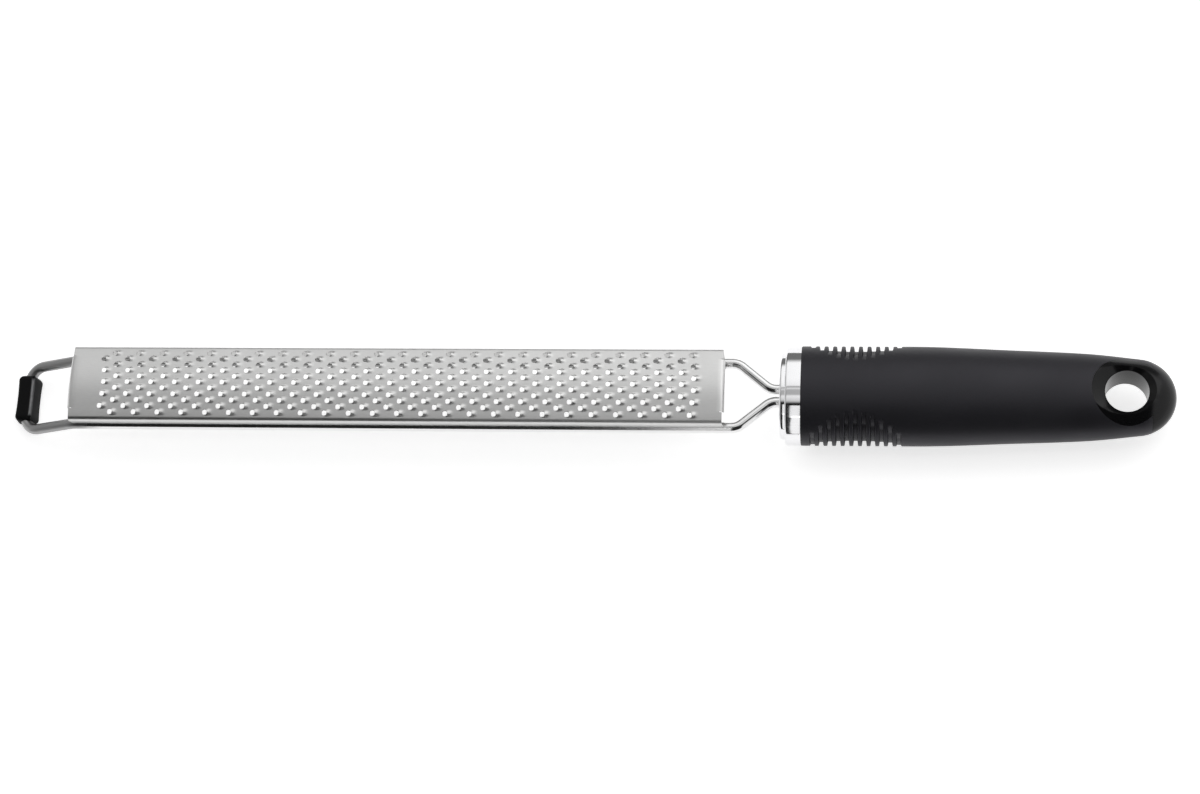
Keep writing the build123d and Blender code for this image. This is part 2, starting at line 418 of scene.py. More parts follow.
# %% [markdown]
# ## Blade
# The real blade is a thin stainless sheet. Holes are cut in staggered rows, the metal behind each
# hole is pushed up into a small sharp scoop, and then the sheet is bent into a channel. The lesson
# follows the same order. One cell of the pattern is a small mesh with its hole and scoop. A geometry
# tree repeats it in rows on the flat sheet, joins the plain margins to it and bows the rows. Then
# every point is bent onto the section of the channel, and the sheet gets its thickness.

# %% Blade sizes
blade_low, blade_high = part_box("blade")
handle_axis_z = 10.5225 * mm
sheet_thickness = 0.5 * mm
crown_radius = 50.0 * mm
corner_y = 12.1 * mm
foot_y = 10.45 * mm
edge_bend_radius = 1.3 * mm
roll_reach = 0.6 * mm
roll_radius = 1.4 * mm
roll_drop = 2.4 * mm
blade_front_x = blade_low.x + roll_reach
blade_length = blade_high.x - blade_low.x - 2 * roll_reach
crown_top_z = 19.9225 * mm
print("blade length", round(blade_length / mm, 2))

# %% Sizes of the pattern of teeth
row_count = 11
teeth_per_row = 25
tooth_pitch = 7.27 * mm
row_spacing = 1.89 * mm
row_bow = 1.3 * mm
pattern_from_front = 9.7 * mm
hole_length = 1.6 * mm
hole_width = 1.72 * mm
tooth_length = 1.4 * mm
tooth_height = 0.55 * mm
cell_columns = 12
cell_lanes = 6
edge_column = 7
field_start = pattern_from_front - tooth_pitch * edge_column / cell_columns
field_end = field_start + tooth_pitch * (teeth_per_row + 0.5)
field_half_width = row_spacing * row_count / 2
print("field from", round(field_start / mm, 2), "to", round(field_end / mm, 2))

# %% [markdown]
# ### One tooth
# A cell is one pitch long and one row wide. It is a grid of points. The faces of the hole are left
# out, the points on its rim are drawn onto a rounded rectangle, and the points behind it rise into a
# scoop. The edges of a cell stay straight, so that neighbouring cells share their points. A plain
# cell of half a pitch fills the end of each row, because every second row starts half a pitch later.

# %% One cell of the pattern
hole_power = 2.6
scoop_power = 1.5
hole_first_column = 4
hole_last_column = edge_column
hole_first_lane = 1
hole_last_lane = cell_lanes - 1


def cell_point(column, lane):
    """Where a grid point of the cell lies, with the hole's rim rounded and the scoop raised."""
    x = (column / cell_columns - 0.5) * tooth_pitch
    y = (lane / cell_lanes - 0.5) * row_spacing
    edge_x = (edge_column / cell_columns - 0.5) * tooth_pitch
    hole_middle = (hole_first_column + hole_last_column) / 2
    across = (lane - cell_lanes / 2) / (cell_lanes / 2 - hole_first_lane)
    along = (column - hole_middle) * 2 / (hole_last_column - hole_first_column)
    if max(abs(across), abs(along)) == 1:
        shrink = (abs(across) ** hole_power + abs(along) ** hole_power) ** (-1 / hole_power)
        x = edge_x - hole_length / 2 + along * shrink * hole_length / 2
        y = across * shrink * hole_width / 2
    rise = 0.0
    if column >= edge_column:
        run = min(max((x - edge_x) / tooth_length, 0), 1)
        crown = 1 - (2 * y / row_spacing) ** 2
        rise = tooth_height * (1 - run) ** scoop_power * crown
    return (x, y, rise)


def is_hole(column, lane):
    """Whether a face of the cell's grid belongs to the hole."""
    in_columns = hole_first_column <= column < hole_last_column
    return in_columns and hole_first_lane <= lane < hole_last_lane


def no_hole(column, lane):
    """For a grid that keeps all its faces."""
    return False


def grid_faces(columns, lanes, is_open=no_hole):
    """The faces of a grid of points, without those that are open."""
    faces = []
    for column in range(columns):
        for lane in range(lanes):
            if not is_open(column, lane):
                first = column * (lanes + 1) + lane
                faces.append((first, first + lanes + 1, first + lanes + 2, first + 1))
    return faces


def drop_loose(piece):
    """Removes the points that no face uses."""
    shape = bmesh.new()
    shape.from_mesh(piece.data)
    loose = [point for point in shape.verts if not point.link_faces]
    bmesh.ops.delete(shape, geom=loose, context="VERTS")
    shape.to_mesh(piece.data)
    shape.free()


cell_points = [cell_point(i, j) for i in range(cell_columns + 1) for j in range(cell_lanes + 1)]
tooth_cell = new_piece("tooth_cell", cell_points, grid_faces(cell_columns, cell_lanes, is_hole))
drop_loose(tooth_cell)
half_columns = cell_columns // 2
blank_points = [
    ((i / cell_columns - 0.25) * tooth_pitch, (j / cell_lanes - 0.5) * row_spacing, 0)
    for i in range(half_columns + 1)
    for j in range(cell_lanes + 1)
]
blank_cell = new_piece("blank_cell", blank_points, grid_faces(half_columns, cell_lanes))
print("faces in one cell:", len(tooth_cell.data.polygons))

# %% [markdown]
# ### The bent section
# Seen from its end, the channel is a wide shallow arc, a tight bend at each long edge, and a side
# wall that leans in to the rod below it. The wall has to point at the rod, so its direction comes
# first, and the bend then takes up what is left between the arc and the wall. With lengths measured
# along the section, any point of the flat sheet can be placed on it.

# %% The section of the channel


def channel_section():
    """The angle where the crown meets the edge bend, and the side wall's direction and normal."""
    crown_z = crown_top_z - crown_radius
    corner_z = crown_z + math.sqrt(crown_radius**2 - corner_y**2)
    fall = Vector((foot_y - corner_y, handle_axis_z - corner_z)).normalized()
    normal = Vector((-fall.y, fall.x))
    foot = Vector((foot_y, handle_axis_z - crown_z))
    reach = (foot.dot(normal) - edge_bend_radius) / (crown_radius - edge_bend_radius)
    return math.atan2(normal.x, normal.y) - math.acos(reach), fall, normal


crown_end_angle, wall_fall, wall_normal = channel_section()
crown_reach = crown_radius * crown_end_angle
bend_turn = math.atan2(wall_normal.x, wall_normal.y) - crown_end_angle
bend_reach = edge_bend_radius * bend_turn
wall_end_z = 12.0 * mm


def skin_point(across, lift):
    """The place on the channel's section of a point of the flat sheet, as y and z."""
    side = math.copysign(1, across)
    distance = abs(across)
    angle = min(distance, crown_reach) / crown_radius
    crown_z = crown_top_z - crown_radius
    if distance <= crown_reach:
        reach = crown_radius + lift
        return side * reach * math.sin(angle), crown_z + reach * math.cos(angle)
    hub = crown_radius - edge_bend_radius
    turned = min((distance - crown_reach) / edge_bend_radius, bend_turn)
    beyond = max(distance - crown_reach - bend_reach, 0)
    radius = edge_bend_radius + lift
    y = hub * math.sin(angle) + radius * math.sin(angle + turned) + wall_fall.x * beyond
    z = crown_z + hub * math.cos(angle) + radius * math.cos(angle + turned) + wall_fall.y * beyond
    return side * y, z


wall_top_z = skin_point(crown_reach + bend_reach, 0)[1]
wall_length = (wall_end_z - wall_top_z) / wall_fall.y
print("crown reach", round(crown_reach / mm, 2), "wall", round(wall_length / mm, 2))

# %% [markdown]
# ### The plain margins
# Round the field of teeth the sheet is plain. Its blocks use the same lines as the field where they
# meet it, so the points coincide and can be merged. The front and rear ends have a tab each, which
# is rolled down over the frame, and one open face beside each tab is the relief notch that a sheet
# needs before it can be folded there.

# %% The plain margins of the flat sheet
lane_width = row_spacing / cell_lanes
tab_lanes = 26
tab_half_width = tab_lanes * lane_width
roll_inset = roll_radius - roll_reach
roll_arc = roll_radius * math.pi / 2
tab_length = roll_arc + roll_drop - roll_radius - roll_inset
step = tooth_pitch / cell_columns
crown_steps = 2
margin_steps = 4
bend_steps = 8


def spread(low, high, count):
    """Evenly spaced values from low to high, with both ends."""
    return [low + (high - low) * k / count for k in range(count + 1)]


def sheet_block(name, x_lines, y_lines, is_open=no_hole):
    """A flat block of sheet on lines across and along it."""
    points = [(x, y, 0) for x in x_lines for y in y_lines]
    block = new_piece(name, points, grid_faces(len(x_lines) - 1, len(y_lines) - 1, is_open))
    drop_loose(block)
    return block


bend_stop = crown_reach + bend_reach
field_lines = spread(field_start, field_end, round((field_end - field_start) / step))
front_lines = [0, roll_inset, *spread(roll_inset, field_start, margin_steps)[1:]]
rear_lines = [*spread(field_end, blade_length - roll_inset, margin_steps), blade_length]
row_lines = spread(-field_half_width, field_half_width, row_count * cell_lanes)
edge_lines = [
    *spread(field_half_width, crown_reach, crown_steps),
    *spread(crown_reach, bend_stop, bend_steps)[1:],
    *spread(bend_stop, bend_stop + wall_length, margin_steps)[1:],
]
tab_lines = spread(-tab_half_width, tab_half_width, 2 * tab_lanes)
middle_lane = row_count * cell_lanes // 2
notch_lanes = (middle_lane - tab_lanes - 1, middle_lane + tab_lanes)
end_block = len(front_lines) - 2
all_lines = [*front_lines[:-1], *field_lines, *rear_lines[1:]]
rear_tab_end = blade_length + tab_length
blocks = [
    sheet_block("front", front_lines, row_lines, lambda i, j: i == 0 and j in notch_lanes),
    sheet_block("rear", rear_lines, row_lines, lambda i, j: i == end_block and j in notch_lanes),
    sheet_block("left", all_lines, edge_lines),
    sheet_block("right", all_lines, [-y for y in reversed(edge_lines)]),
    sheet_block("front_tab", spread(-tab_length, 0, bend_steps), tab_lines),
    sheet_block("rear_tab", spread(blade_length, rear_tab_end, bend_steps), tab_lines),
]
with bpy.context.temp_override(active_object=blocks[0], selected_editable_objects=blocks):
    bpy.ops.object.join()
margins = blocks[0]
print("faces in the margins:", len(margins.data.polygons))

# %% [markdown]
# ### The rows of teeth
# A geometry tree sets a point for every tooth, shifts every second row by half a pitch and puts a
# copy of the cell on each point. Realize Instances turns the copies into real mesh, and Merge by
# Distance joins them to each other and to the margins. On the real sheet the lines of teeth across
# it are bowed, so the tree also moves the points along the sheet, most in the middle row and not at
# all at the margins. The points of one row move as one, so that the holes keep their shape.

# %% Steps that the tree uses
seam_share = 0.45
merge_distance = 0.003 * mm


def shifted(tree, points, shift):
    """Points moved along the sheet."""
    move = add_node(tree, "GeometryNodeSetPosition")
    offset = add_node(tree, "ShaderNodeCombineXYZ")
    feed(tree, move.inputs["Geometry"], points)
    feed(tree, offset.inputs["X"], shift)
    feed(tree, move.inputs["Offset"], offset.outputs[0])
    return move.outputs[0]


def placed(tree, points, cell):
    """A copy of a cell on every point, as real mesh."""
    info = add_node(tree, "GeometryNodeObjectInfo")
    copies = add_node(tree, "GeometryNodeInstanceOnPoints")
    real = add_node(tree, "GeometryNodeRealizeInstances")
    feed(tree, info.inputs["Object"], cell)
    feed(tree, copies.inputs["Points"], points)
    feed(tree, copies.inputs["Instance"], info.outputs["Geometry"])
    feed(tree, real.inputs[0], copies.outputs[0])
    return real.outputs[0]


def painted(tree, geometry, material):
    """A mesh with its material set."""
    paint = add_node(tree, "GeometryNodeSetMaterial")
    feed(tree, paint.inputs["Geometry"], geometry)
    feed(tree, paint.inputs["Material"], material)
    return paint.outputs[0]


def point_place(tree):
    """The x, y and z of each point."""
    place = add_node(tree, "ShaderNodeSeparateXYZ")
    feed(tree, place.inputs[0], add_node(tree, "GeometryNodeInputPosition").outputs[0])
    return place.outputs


def bow_shift(tree, given):
    """How far each point moves along the sheet. Points on a seam follow their own place."""
    pitch, spacing = given["Pitch"], given["Row spacing"]
    start, length = given["Field start"], given["Sheet length"]
    x, y, z = point_place(tree)
    half_spacing = calc(tree, "MULTIPLY", spacing, 0.5)
    row_y = calc(tree, "SNAP", calc(tree, "ADD", y, half_spacing), spacing)
    off_row = calc(tree, "SUBTRACT", y, row_y)
    seam = calc(tree, "MULTIPLY", spacing, seam_share)
    on_seam = calc(tree, "GREATER_THAN", calc(tree, "ABSOLUTE", off_row), seam)
    followed = calc(tree, "ADD", row_y, calc(tree, "MULTIPLY", on_seam, off_row))
    half_field = calc(tree, "MULTIPLY", calc(tree, "MULTIPLY", given["Rows"], spacing), 0.5)
    out = calc(tree, "ABSOLUTE", calc(tree, "DIVIDE", followed, half_field))
    out = calc(tree, "MINIMUM", out, 1.0)
    arch = calc(tree, "SUBTRACT", 1.0, calc(tree, "POWER", out, 2.0))
    field_length = calc(tree, "ADD", given["Teeth per row"], 0.5)
    field_length = calc(tree, "MULTIPLY", field_length, pitch)
    rear_margin = calc(tree, "SUBTRACT", length, calc(tree, "ADD", start, field_length))
    from_front = calc(tree, "DIVIDE", x, start)
    from_rear = calc(tree, "DIVIDE", calc(tree, "SUBTRACT", length, x), rear_margin)
    fade = clamped(tree, calc(tree, "MINIMUM", from_front, from_rear))
    return calc(tree, "MULTIPLY", calc(tree, "MULTIPLY", arch, fade), given["Bow"])


# %% The tree that lays out the teeth


def tooth_rows_tree():
    """Teeth in staggered rows, joined to the plain margins and bowed."""
    tree, given, result = new_group(
        "tooth rows",
        "GeometryNodeTree",
        {
            "Margins": ("NodeSocketGeometry", None),
            "Tooth cell": ("NodeSocketObject", None),
            "Blank cell": ("NodeSocketObject", None),
            "Rows": ("NodeSocketInt", row_count),
            "Teeth per row": ("NodeSocketInt", teeth_per_row),
            "Pitch": ("NodeSocketFloat", tooth_pitch),
            "Row spacing": ("NodeSocketFloat", row_spacing),
            "Field start": ("NodeSocketFloat", field_start),
            "Sheet length": ("NodeSocketFloat", blade_length),
            "Bow": ("NodeSocketFloat", row_bow),
            "Material": ("NodeSocketMaterial", None),
        },
        {"Geometry": "NodeSocketGeometry"},
    )
    rows, teeth, pitch = given["Rows"], given["Teeth per row"], given["Pitch"]
    spacing = given["Row spacing"]
    index = add_node(tree, "GeometryNodeInputIndex").outputs[0]
    row = calc(tree, "FLOORED_MODULO", index, rows)
    even_row = calc(tree, "COMPARE", calc(tree, "FLOORED_MODULO", row, 2.0), 0.0, 0.5)
    row_pitches = calc(tree, "MULTIPLY", teeth, pitch)
    points = add_node(tree, "GeometryNodeMeshGrid")
    field_width = calc(tree, "MULTIPLY", calc(tree, "SUBTRACT", rows, 1.0), spacing)
    row_length = calc(tree, "MULTIPLY", calc(tree, "SUBTRACT", teeth, 1.0), pitch)
    feed(tree, points.inputs["Size X"], row_length)
    feed(tree, points.inputs["Size Y"], field_width)
    feed(tree, points.inputs["Vertices X"], teeth)
    feed(tree, points.inputs["Vertices Y"], rows)
    middle = calc(tree, "ADD", given["Field start"], calc(tree, "MULTIPLY", row_pitches, 0.5))
    stagger = calc(tree, "MULTIPLY", calc(tree, "MULTIPLY", even_row, pitch), 0.5)
    tooth_points = shifted(tree, points.outputs["Mesh"], calc(tree, "ADD", middle, stagger))

    line = add_node(tree, "GeometryNodeMeshLine", mode="OFFSET", count_mode="TOTAL")
    start = add_node(tree, "ShaderNodeCombineXYZ")
    stride = add_node(tree, "ShaderNodeCombineXYZ")
    feed(tree, start.inputs["Y"], calc(tree, "MULTIPLY", field_width, -0.5))
    feed(tree, stride.inputs["Y"], spacing)
    feed(tree, line.inputs["Count"], rows)
    feed(tree, line.inputs["Start Location"], start.outputs[0])
    feed(tree, line.inputs["Offset"], stride.outputs[0])
    far_end = calc(tree, "MULTIPLY", row_pitches, calc(tree, "SUBTRACT", 1.0, even_row))
    near_end = calc(tree, "ADD", given["Field start"], calc(tree, "MULTIPLY", pitch, 0.25))
    blank_points = shifted(tree, line.outputs["Mesh"], calc(tree, "ADD", near_end, far_end))

    join = add_node(tree, "GeometryNodeJoinGeometry")
    teeth_mesh = placed(tree, tooth_points, given["Tooth cell"])
    blank_mesh = placed(tree, blank_points, given["Blank cell"])
    for part in (given["Margins"], teeth_mesh, blank_mesh):
        tree.links.new(part, join.inputs[0])
    merge = add_node(tree, "GeometryNodeMergeByDistance")
    feed(tree, merge.inputs["Geometry"], join.outputs[0])
    feed(tree, merge.inputs["Distance"], merge_distance)
    bowed = shifted(tree, merge.outputs[0], bow_shift(tree, given))
    feed(tree, result["Geometry"], painted(tree, bowed, given["Material"]))
    return tree


# %% The flat sheet with its teeth
blade = margins
blade.name = "toothed_blade"
use_tree(
    blade,
    tooth_rows_tree(),
    {"Tooth cell": tooth_cell, "Blank cell": blank_cell, "Material": blade_steel},
)
settle(blade)
bpy.data.objects.remove(tooth_cell)
bpy.data.objects.remove(blank_cell)
print("faces in the flat sheet:", len(blade.data.polygons))

# %% [markdown]
# ### Bending
# Each point of the flat sheet is measured along and across it. The end tabs are rolled down first,
# and then every point goes onto the bent section. Solidify gives the sheet its thickness inwards, so
# the outside keeps its size.

# %% Bending the sheet


def curl(x):
    """How far along and how far down a point of an end tab goes when the tab is rolled down."""
    outward, inset = (-1, x) if x < blade_length / 2 else (1, blade_length - x)
    past = roll_inset - inset
    if past <= 0:
        return x, 0
    angle = min(past / roll_radius, math.pi / 2)
    straight = max(past - roll_arc, 0)
    start = roll_inset if outward < 0 else blade_length - roll_inset
    drop = roll_radius * (1 - math.cos(angle)) + straight
    return start + outward * roll_radius * math.sin(angle), drop


for point in blade.data.vertices:
    x, across, lift = point.co
    drop = 0
    if abs(across) < tab_half_width + lane_width / 2:
        x, drop = curl(x)
    y, z = skin_point(across, lift - drop)
    point.co = (blade_front_x + x, y, z)
thicken = blade.modifiers.new("thickness", "SOLIDIFY")
thicken.thickness = sheet_thickness
thicken.offset = -1
thicken.use_even_offset = True
settle(blade)
shade(blade, sharp_angle=40.0)
mount_piece(blade, "blade", blade_steel)

# %% [markdown]
# ## Wire frame
# One steel rod makes the whole frame: the loop at the front, the two rails that carry the blade, and
# the neck that draws together into the handle. A wire bender works from straight runs and a radius
# for each bend. So the path is a chain of corners with a radius at each, and a geometry tree rounds
# the corners and sweeps a circle along them. Half of the path is written, and the rest mirrors it.

# %% The rod's path
wire_low, wire_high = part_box("wire_frame")
wire_radius = 1.6 * mm
rail_y = wire_high.y - wire_radius
neck_y = 2.0 * mm
neck_angle = math.radians(40.0)
neck_bend_radius = 5.0 * mm
knee_radius = 7.0 * mm
corner_radius = 5.3 * mm
nose_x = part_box("ferrule")[0].x
neck_gap = 1.2 * mm
loop_run = 17.2 * mm
bar_x = wire_low.x + wire_radius
bar_z = wire_low.z + wire_radius
knee_x = bar_x + loop_run
neck_x = nose_x - neck_gap - neck_bend_radius * math.tan(neck_angle / 2)
spread_x = neck_x - (rail_y - neck_y) / math.tan(neck_angle)
half_path = [
    ((wire_high.x, neck_y, handle_axis_z), 0),
    ((neck_x, neck_y, handle_axis_z), neck_bend_radius),
    ((spread_x, rail_y, handle_axis_z), neck_bend_radius),
    ((knee_x, rail_y, handle_axis_z), knee_radius),
    ((bar_x, rail_y, bar_z), corner_radius),
]
path = half_path + [((x, -y, z), radius) for (x, y, z), radius in reversed(half_path)]
print("corners in the rod's path:", len(path))

# %% The tree that bends the rod


def bent_rod_tree():
    """A chain of straight runs with rounded corners, swept with a circle."""
    tree, given, result = new_group(
        "bent rod",
        "GeometryNodeTree",
        {
            "Path": ("NodeSocketGeometry", None),
            "Rod radius": ("NodeSocketFloat", wire_radius),
            "Sides": ("NodeSocketInt", 40),
            "Steps per bend": ("NodeSocketInt", 14),
            "Material": ("NodeSocketMaterial", None),
        },
        {"Geometry": "NodeSocketGeometry"},
    )
    line = add_node(tree, "GeometryNodeMeshToCurve")
    radius = add_node(tree, "GeometryNodeInputNamedAttribute", data_type="FLOAT")
    radius.inputs["Name"].default_value = "bend_radius"
    bends = add_node(tree, "GeometryNodeFilletCurve", mode="POLY")
    ring = add_node(tree, "GeometryNodeCurvePrimitiveCircle")
    rod = add_node(tree, "GeometryNodeCurveToMesh")
    feed(tree, line.inputs["Mesh"], given["Path"])
    feed(tree, bends.inputs["Curve"], line.outputs[0])
    feed(tree, bends.inputs["Radius"], radius.outputs["Attribute"])
    feed(tree, bends.inputs["Count"], given["Steps per bend"])
    feed(tree, ring.inputs["Resolution"], given["Sides"])
    feed(tree, ring.inputs["Radius"], given["Rod radius"])
    feed(tree, rod.inputs["Curve"], bends.outputs[0])
    feed(tree, rod.inputs["Profile Curve"], ring.outputs[0])
    feed(tree, rod.inputs["Fill Caps"], True)
    feed(tree, result["Geometry"], painted(tree, rod.outputs[0], given["Material"]))
    return tree


# %% [markdown]
# The rod is bright at the neck and dull grey at the loop. Its inner side under the blade gets the
# same dull grey, which there is painted shade for the blade's shadow. Two rods with two materials
# would show a joint. So the one material gets a mask from the place on the rod, which mixes in the
# grey.

# %% Satin, polish and painted shade
satin_end_x = blade_low.x + 2.0 * mm
satin_fade = 8.0 * mm
painted_shade_fade = 0.6 * mm
# Grey of the satin loop, and painted shade on the rod's inner side under the blade.
satin_and_shade_grey = (0.34, 0.34, 0.34, 1)
satin_rough = 0.36


def surface_place(tree):
    """The x, y and z of the point that is shaded, on the tool's own axes."""
    place = add_node(tree, "ShaderNodeSeparateXYZ")
    feed(tree, place.inputs[0], add_node(tree, "ShaderNodeTexCoord").outputs["Object"])
    return place.outputs


def mix_colour(tree, shader, share, colour):
    """Mixes another colour into what feeds a shader's Base Color."""
    mixed = add_node(tree, "ShaderNodeMix", data_type="RGBA")
    feed(tree, mixed.inputs[0], share)
    feed(tree, mixed.inputs[6], shader.inputs["Base Color"].links[0].from_socket)
    mixed.inputs[7].default_value = colour
    feed(tree, shader.inputs["Base Color"], mixed.outputs[2])


def dull_rod_and_paint_shade(material):
    """Dulls the rod at its loop, and paints shade on its inner side under the blade."""
    tree = material.node_tree
    shader = tree.nodes["Principled BSDF"]
    x, y, z = surface_place(tree)
    loop = calc(tree, "SUBTRACT", satin_end_x + satin_fade, x)
    loop = calc(tree, "DIVIDE", loop, satin_fade)
    # Painted shade: the inner side of the rails, under the blade.
    inner = calc(tree, "SUBTRACT", rail_y, calc(tree, "ABSOLUTE", y))
    inner = calc(tree, "DIVIDE", inner, painted_shade_fade)
    under = calc(tree, "DIVIDE", calc(tree, "SUBTRACT", blade_high.x, x), painted_shade_fade)
    share = calc(tree, "MAXIMUM", loop, calc(tree, "MINIMUM", inner, under))
    share = clamped(tree, share)
    mix_colour(tree, shader, share, satin_and_shade_grey)
    polished = shader.inputs["Roughness"].links[0].from_socket
    added = calc(tree, "MULTIPLY", calc(tree, "SUBTRACT", satin_rough, polished), share)
    feed(tree, shader.inputs["Roughness"], calc(tree, "ADD", polished, added))


dull_rod_and_paint_shade(rod_steel)
print("nodes in the rod's material:", len(rod_steel.node_tree.nodes))

# %% The rod
rod = new_piece("wire_rod", [place for place, radius in path], [])
rod.data.edges.add(len(path) - 1)
for k, edge in enumerate(rod.data.edges):
    edge.vertices = (k, k + 1)
bend_radii = rod.data.attributes.new("bend_radius", "FLOAT", "POINT")
bend_radii.data.foreach_set("value", [radius for place, radius in path])
use_tree(rod, bent_rod_tree(), {"Material": rod_steel})
settle(rod)
shade(rod, sharp_angle=50.0)
mount_piece(rod, "wire_frame", rod_steel)

# %% [markdown]
# ## Handle body
# The handle's plan outline runs straight past the fins, narrows in a gentle curve and ends in a
# round tail. Every section is an ellipse of the same flatness. So one function gives the half width
# at any place along the tool, by a smooth cubic between the places that are known, and another turns
# a profile round the axis and squashes it.

# %% Handle outline
flatness_share = 0.69
tail_x = solid_bounds[1].x
handle_front_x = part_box("grip_sleeve")[0].x
handle_half_width = 15.25 * mm
widest_x = tail_x - 77.0 * mm
waist_x = tail_x - 47.8 * mm
waist_half_width = 14.25 * mm
shoulder_x = tail_x - 25.7 * mm
shoulder_half_width = 13.25 * mm
tail_radius = 11.7 * mm
tail_slope = math.radians(6.3)
tail_centre_x = tail_x - tail_radius
tail_start_x = tail_centre_x + tail_radius * math.sin(tail_slope)
tail_start_half_width = tail_radius * math.cos(tail_slope)
waist_slope = -0.039
shoulder_slope = -0.068
outline = [
    (widest_x, handle_half_width, 0.0),
    (waist_x, waist_half_width, waist_slope),
    (shoulder_x, shoulder_half_width, shoulder_slope),
    (tail_start_x, tail_start_half_width, -math.tan(tail_slope)),
]


def half_width(x):
    """The handle's half width at a place along the tool, and its slope there times the width."""
    if x <= widest_x:
        return handle_half_width, 0.0
    if x >= tail_start_x:
        off = min(x - tail_centre_x, tail_radius)
        return math.sqrt(tail_radius**2 - off**2), -off
    for (x0, w0, s0), (x1, w1, s1) in zip(outline, outline[1:]):
        if x <= x1:
            run = x1 - x0
            t = (x - x0) / run
            width = (
                w0 * (1 + 2 * t) * (1 - t) ** 2
                + s0 * run * t * (1 - t) ** 2
                + w1 * t * t * (3 - 2 * t)
                + s1 * run * t * t * (t - 1)
            )
            slope = (
                6 * t * (1 - t) * (w1 - w0) / run
                + s0 * (1 - t) * (1 - 3 * t)
                + s1 * t * (3 * t - 2)
            )
            return width, slope * width


print("half width at the waist", round(half_width(waist_x)[0] / mm, 2))

# %% Turned ovals
fine_sides = 160
pole_width = 0.001 * mm


def turned_oval(name, profile, sides=128):
    """A closed profile of places and half widths, turned round the tool's axis and squashed.

    A profile point on the axis stands for a whole ring, so its faces become triangles.
    """
    points, faces, rings = [], [], []
    for x, width in profile:
        if width < pole_width:
            rings.append([len(points)] * sides)
            points.append((x, 0, handle_axis_z))
            continue
        rings.append(list(range(len(points), len(points) + sides)))
        for k in range(sides):
            angle = 2 * math.pi * k / sides
            y = width * math.cos(angle)
            points.append((x, y, handle_axis_z + flatness_share * width * math.sin(angle)))
    for ring, after in zip(rings, rings[1:] + rings[:1]):
        for k in range(sides):
            corners = [ring[k], ring[(k + 1) % sides], after[(k + 1) % sides], after[k]]
            corners = list(dict.fromkeys(corners))
            if len(corners) > 2:
                faces.append(corners)
    return new_piece(name, points, faces)


def arc(centre_x, centre_width, radius, start, stop, count):
    """Points of a small rounding in a profile, by angle from the tool's axis direction."""
    angles = [math.radians(start + (stop - start) * k / count) for k in range(count + 1)]
    return [(centre_x + radius * math.cos(a), centre_width + radius * math.sin(a)) for a in angles]


# %% [markdown]
# A boolean cut leaves long thin faces beside the cut, and smooth shading then shows smears there. The
# body's surface is known exactly, so the faces that lie on it can be given its exact normals.

# %% Exact normals
same_way = 0.8


def body_normals(piece, tolerance=0.01 * mm):
    """Gives faces that lie on the handle's outline the exact normals of that surface."""
    mesh = piece.data
    # A zero normal leaves a corner as it is.
    normals = [(0, 0, 0)] * len(mesh.loops)
    for face in mesh.polygons:
        exact = []
        for k in face.vertices:
            x, y, z = mesh.vertices[k].co
            width, slope_width = half_width(min(x, tail_x))
            rise = (z - handle_axis_z) / flatness_share
            if abs(math.hypot(y, rise) - width) > tolerance or x > tail_x - tolerance:
                break
            exact.append(Vector((-slope_width, y, rise / flatness_share)).normalized())
        if len(exact) == len(face.vertices) and exact[0].dot(face.normal) > same_way:
            for loop, normal in zip(face.loop_indices, exact):
                normals[loop] = normal
    mesh.normals_split_custom_set(normals)


# %% [markdown]
# ## Ferrule
# The ferrule is the bright metal cap between the neck and the grip, with a smaller nose that the rod
# passes through. Such a cap is drawn or cast and then polished, so its rims are round. A sharp rim
# would stay dark, while a small rounding always mirrors a light from somewhere. One closed profile
# holds the outside, the rims and the cavity, and is turned like the rest of the handle.

# %% Ferrule
ferrule_x = handle_front_x - 4.6 * mm
nose_half_width = handle_half_width - 1.9 * mm
ferrule_wall = 1.2 * mm
cavity_x = handle_front_x - 3.7 * mm
cavity_half_width = handle_half_width - ferrule_wall
ferrule_rounding = 0.7 * mm
rounding_steps = 8


def round_rim(x, width, rounding, steps):
    """A quarter round in a profile, from the end face at x to the side at that width."""
    return arc(x + rounding, width - rounding, rounding, 180, 90, steps)


ferrule_profile = [
    (nose_x, 0),
    *round_rim(nose_x, nose_half_width, ferrule_rounding, rounding_steps),
    (ferrule_x, nose_half_width),
    *round_rim(ferrule_x, handle_half_width, ferrule_rounding, rounding_steps),
    (handle_front_x, handle_half_width),
    (handle_front_x, cavity_half_width),
    (cavity_x, cavity_half_width),
    (cavity_x, 0),
]
ferrule = turned_oval("bright_ferrule", ferrule_profile, fine_sides)
shade(ferrule, sharp_angle=30.0)
mount_piece(ferrule, "ferrule", collar_chrome)

# %% [markdown]
# ## Hard core
# The core is a hard glossy plastic moulding. Most of it is hidden in the soft sleeve. It shows at the
# tail and round the hanging hole, inside a round dish, and the sleeve ends there along the edge of
# the dish. Both pieces have to meet on one line, so the same prism cuts them both: the core keeps
# what is inside it and the sleeve what is outside, with a gap as thin as a hair between them.

# %% The bare end of the core
hanging_x = tail_x - 14.6 * mm
cap_x = tail_x - 7.3 * mm
hole_radius = 6.4 * mm
hole_half_length = 5.6 * mm
dish_radius = 10.35 * mm
dish_angle = math.radians(36.0)
core_half_width = 5.9 * mm
core_end_x = tail_x - 22.0 * mm
overrun = 5.0 * mm
dish_steps = 90


